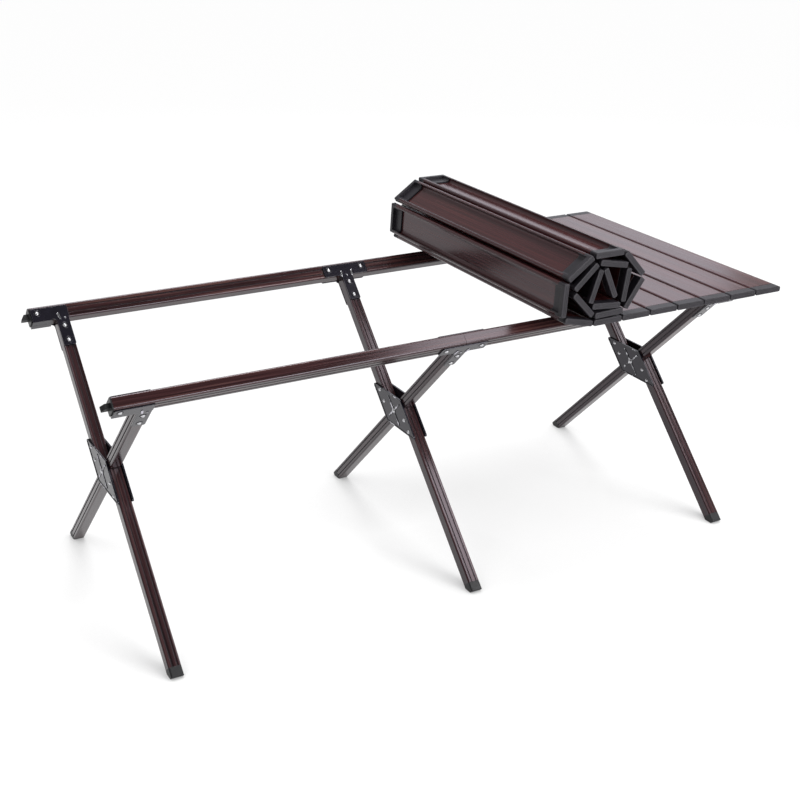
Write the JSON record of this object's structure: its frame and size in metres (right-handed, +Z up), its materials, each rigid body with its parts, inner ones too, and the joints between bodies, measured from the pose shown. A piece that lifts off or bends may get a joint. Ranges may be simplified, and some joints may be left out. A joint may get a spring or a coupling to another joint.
{
  "type": "roll top camp table",
  "caption": "Low folding camp table: a top of hinged aluminium slats, shown half rolled up, on two rails carried by crossed folding legs.",
  "frame": {"origin": "on the floor under the middle of the outline", "axes": "+X along the table towards the laid-out end of the top, +Y towards the back, +Z up"},
  "size_m": [1.175, 0.5478, 0.5457],
  "materials": {
    "slat": "wood-grain film on extruded aluminium, satin gloss",
    "cap": "moulded, fine texture",
    "frame_tube": "dark wood-grain film on extruded aluminium, satin gloss",
    "plate": "black powder coat on pressed steel",
    "foot": "moulded",
    "plug": "moulded",
    "rivet": "bright"
  },
  "bodies": {
    "back_frame": {"back_rail_left": "frame_tube", "back_rail_right": "frame_tube", "back_legs_upper": "frame_tube", "back_legs_lower": "frame_tube", "hub_plates": "plate", "back_plates": "plate", "back_feet": "foot", "back_rail_plugs": "plug", "back_rivets": "rivet", "pivot_rivets": "rivet"},
    "front_frame": {"front_rail_left": "frame_tube", "front_rail_right": "frame_tube", "front_legs": "frame_tube", "front_plates": "plate", "front_feet": "foot", "front_rail_plugs": "plug", "front_rivets": "rivet"},
    "slat_01": {"slat_01": "slat", "slat_01_caps": "cap"},
    "slat_02": {"slat_02": "slat", "slat_02_caps": "cap"},
    "slat_03": {"slat_03": "slat", "slat_03_caps": "cap"},
    "slat_04": {"slat_04": "slat", "slat_04_caps": "cap"},
    "slat_05": {"slat_05": "slat", "slat_05_caps": "cap"},
    "slat_06": {"slat_06": "slat", "slat_06_caps": "cap"},
    "slat_07": {"slat_07": "slat", "slat_07_caps": "cap"},
    "slat_08": {"slat_08": "slat", "slat_08_caps": "cap"},
    "slat_09": {"slat_09": "slat", "slat_09_caps": "cap"},
    "slat_10": {"slat_10": "slat", "slat_10_caps": "cap"},
    "slat_11": {"slat_11": "slat", "slat_11_caps": "cap"},
    "slat_12": {"slat_12": "slat", "slat_12_caps": "cap"},
    "slat_13": {"slat_13": "slat", "slat_13_caps": "cap"},
    "slat_14": {"slat_14": "slat", "slat_14_caps": "cap"},
    "slat_15": {"slat_15": "slat", "slat_15_caps": "cap"},
    "slat_16": {"slat_16": "slat", "slat_16_caps": "cap"},
    "slat_17": {"slat_17": "slat", "slat_17_caps": "cap"},
    "slat_18": {"slat_18": "slat", "slat_18_caps": "cap"},
    "slat_19": {"slat_19": "slat", "slat_19_caps": "cap"},
    "slat_20": {"slat_20": "slat", "slat_20_caps": "cap"},
    "slat_21": {"slat_21": "slat", "slat_21_caps": "cap"}
  },
  "joints": [
    {"name": "fold", "type": "hinge", "parent": "back_frame", "child": "front_frame", "pos_m": [-0.0115, -0.01214, 0.22385], "axis": [-1, 0, 0], "range_deg": [0, 88]},
    {"name": "top_lift", "type": "slide", "parent": "back_frame", "child": "slat_01", "axis": [0, 0, 1], "range_m": [0, 0.36]},
    {"name": "roll_up", "type": "hinge", "parent": "slat_01", "child": "slat_02", "pos_m": [0.53136, 0.00285, 0.434], "axis": [0, 1, 0], "range_deg": [0, 20]},
    {"name": "roll_up_02", "type": "hinge", "parent": "slat_02", "child": "slat_03", "pos_m": [0.47421, 0.00285, 0.434], "axis": [0, 1, 0], "range_deg": [0, 20]},
    {"name": "roll_up_03", "type": "hinge", "parent": "slat_03", "child": "slat_04", "pos_m": [0.41707, 0.00285, 0.434], "axis": [0, 1, 0], "range_deg": [0, 20]},
    {"name": "roll_up_04", "type": "hinge", "parent": "slat_04", "child": "slat_05", "pos_m": [0.35993, 0.00285, 0.434], "axis": [0, 1, 0], "range_deg": [0, 20]},
    {"name": "roll_up_05", "type": "hinge", "parent": "slat_05", "child": "slat_06", "pos_m": [0.30279, 0.00285, 0.434], "axis": [0, 1, 0], "range_deg": [0, 20]},
    {"name": "roll_up_06", "type": "hinge", "parent": "slat_06", "child": "slat_07", "pos_m": [0.24564, 0.00285, 0.434], "axis": [0, 1, 0], "range_deg": [0, 20]},
    {"name": "unroll_07", "type": "hinge", "parent": "slat_07", "child": "slat_08", "pos_m": [0.1885, 0.00285, 0.434], "axis": [0, -1, 0], "range_deg": [0, 13]},
    {"name": "unroll_08", "type": "hinge", "parent": "slat_08", "child": "slat_09", "pos_m": [0.13282, 0.00285, 0.44685], "axis": [0, -1, 0], "range_deg": [0, 80]},
    {"name": "unroll_09", "type": "hinge", "parent": "slat_09", "child": "slat_10", "pos_m": [0.13581, 0.00285, 0.50392], "axis": [0, -1, 0], "range_deg": [0, 52]},
    {"name": "unroll_10", "type": "hinge", "parent": "slat_10", "child": "slat_11", "pos_m": [0.18262, 0.00285, 0.5367], "axis": [0, -1, 0], "range_deg": [0, 35]},
    {"name": "unroll_11", "type": "hinge", "parent": "slat_11", "child": "slat_12", "pos_m": [0.23976, 0.00285, 0.5367], "axis": [0, -1, 0], "range_deg": [0, 47]},
    {"name": "unroll_12", "type": "hinge", "parent": "slat_12", "child": "slat_13", "pos_m": [0.27874, 0.00285, 0.4949], "axis": [0, -1, 0], "range_deg": [0, 77]},
    {"name": "unroll_13", "type": "hinge", "parent": "slat_13", "child": "slat_14", "pos_m": [0.24678, 0.00285, 0.44753], "axis": [0, -1, 0], "range_deg": [0, 54]},
    {"name": "unroll_14", "type": "hinge", "parent": "slat_14", "child": "slat_15", "pos_m": [0.18967, 0.00285, 0.44554], "axis": [0, -1, 0], "range_deg": [0, 48]},
    {"name": "unroll_15", "type": "hinge", "parent": "slat_15", "child": "slat_16", "pos_m": [0.14998, 0.00285, 0.48664], "axis": [0, -1, 0], "range_deg": [0, 92]},
    {"name": "unroll_16", "type": "hinge", "parent": "slat_16", "child": "slat_17", "pos_m": [0.19244, 0.00285, 0.52488], "axis": [0, -1, 0], "range_deg": [0, 53]},
    {"name": "unroll", "type": "hinge", "parent": "slat_17", "child": "slat_18", "pos_m": [0.24854, 0.00285, 0.51397], "axis": [0, -1, 0], "range_deg": [0, 87]},
    {"name": "unroll_18", "type": "hinge", "parent": "slat_18", "child": "slat_19", "pos_m": [0.24058, 0.00285, 0.45739], "axis": [0, -1, 0], "range_deg": [0, 87]},
    {"name": "unroll_19", "type": "hinge", "parent": "slat_19", "child": "slat_20", "pos_m": [0.18366, 0.00285, 0.46237], "axis": [0, -1, 0], "range_deg": [0, 103]},
    {"name": "unroll_20", "type": "hinge", "parent": "slat_20", "child": "slat_21", "pos_m": [0.20132, 0.00285, 0.51671], "axis": [0, -1, 0], "range_deg": [0, 137]}
  ],
  "couplings": [
    {"joint": "top_lift", "follows": "fold", "m_per_rad": 0.23},
    {"joint": "roll_up_02", "follows": "roll_up", "ratio": 1},
    {"joint": "roll_up_03", "follows": "roll_up", "ratio": 1},
    {"joint": "roll_up_04", "follows": "roll_up", "ratio": 1},
    {"joint": "roll_up_05", "follows": "roll_up", "ratio": 1},
    {"joint": "roll_up_06", "follows": "roll_up", "ratio": 1},
    {"joint": "unroll_07", "follows": "unroll", "ratio": 0.14943},
    {"joint": "unroll_08", "follows": "unroll", "ratio": 0.91954},
    {"joint": "unroll_09", "follows": "unroll", "ratio": 0.5977},
    {"joint": "unroll_10", "follows": "unroll", "ratio": 0.4023},
    {"joint": "unroll_11", "follows": "unroll", "ratio": 0.54023},
    {"joint": "unroll_12", "follows": "unroll", "ratio": 0.88506},
    {"joint": "unroll_13", "follows": "unroll", "ratio": 0.62069},
    {"joint": "unroll_14", "follows": "unroll", "ratio": 0.55172},
    {"joint": "unroll_15", "follows": "unroll", "ratio": 1.0575},
    {"joint": "unroll_16", "follows": "unroll", "ratio": 0.6092},
    {"joint": "unroll_18", "follows": "unroll", "ratio": 1},
    {"joint": "unroll_19", "follows": "unroll", "ratio": 1.1839},
    {"joint": "unroll_20", "follows": "unroll", "ratio": 1.5747}
  ]
}
